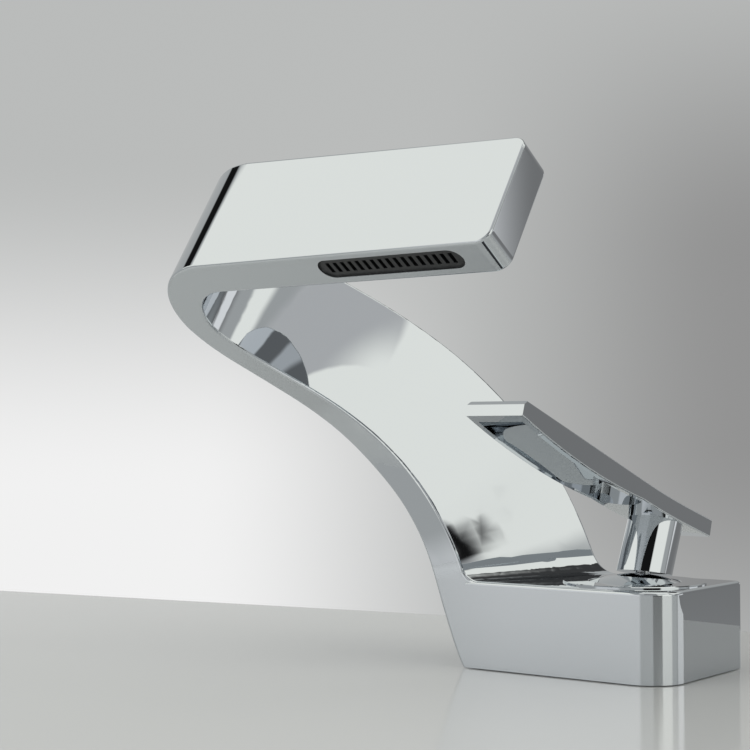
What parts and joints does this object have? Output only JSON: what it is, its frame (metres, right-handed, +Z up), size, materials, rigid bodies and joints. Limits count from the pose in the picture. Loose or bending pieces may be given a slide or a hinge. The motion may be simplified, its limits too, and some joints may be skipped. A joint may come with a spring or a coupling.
{
  "type": "waterfall basin mixer tap",
  "caption": "Chromed single-lever basin mixer: a block base whose left end rises as a flat band, folds over and returns as a wide lip with a slot outlet.",
  "frame": {"origin": "middle of the deck hole on the plane of the basin deck: the axis of the shank and of the cartridge", "axes": "+Z up along the tap's axis, +Y to the back of the basin, +X to the right for someone who faces the tap"},
  "size_m": [0.1888, 0.1203, 0.2108],
  "materials": {
    "chrome_body": "polished mirror",
    "chrome_lever": "polished mirror",
    "chrome_trim": "polished mirror",
    "black_plastic": "matt",
    "white_plastic": "matt",
    "grey_plastic": "matt",
    "black_rubber": "matt",
    "ceramic": "lapped",
    "brass": "machined",
    "steel": "machined"
  },
  "bodies": {
    "root": {"faucet_body": "chrome_body", "cover_ring": "chrome_trim", "outlet_insert": "black_plastic", "outlet_seal": "black_rubber", "base_gasket": "black_rubber", "port_seal_left": "black_rubber", "port_seal_right": "black_rubber", "housing_seal": "black_rubber", "rubber_washer": "black_rubber", "glide_ring": "white_plastic", "cartridge_port_plate": "grey_plastic", "cartridge_housing": "grey_plastic", "fixed_disc": "ceramic", "cartridge_lock_nut": "brass", "back_nut": "brass", "steel_washer": "steel"},
    "turner": {"turner": "white_plastic", "turner_seal": "black_rubber", "pivot_pin": "steel", "dome_cap": "chrome_trim"},
    "handle": {"lever_handle": "chrome_lever", "spindle": "steel", "grub_screw": "steel", "screw_plug": "grey_plastic"},
    "slider": {"disc_carrier": "white_plastic", "moving_disc": "ceramic"}
  },
  "joints": [
    {"name": "mix_turn", "type": "hinge", "parent": "root", "child": "turner", "pos_m": [0, 0, 0.014], "axis": [0, 0, 1], "range_deg": [-45, 45]},
    {"name": "flow_lift", "type": "hinge", "parent": "turner", "child": "handle", "pos_m": [0, 0, 0.014], "axis": [-1, 0, 0], "range_deg": [-19, 0]},
    {"name": "disc_slide", "type": "slide", "parent": "turner", "child": "slider", "axis": [0, -1, 0], "range_m": [-0.0028, 0]}
  ],
  "couplings": [
    {"joint": "disc_slide", "follows": "flow_lift", "m_per_rad": 0.0084}
  ]
}
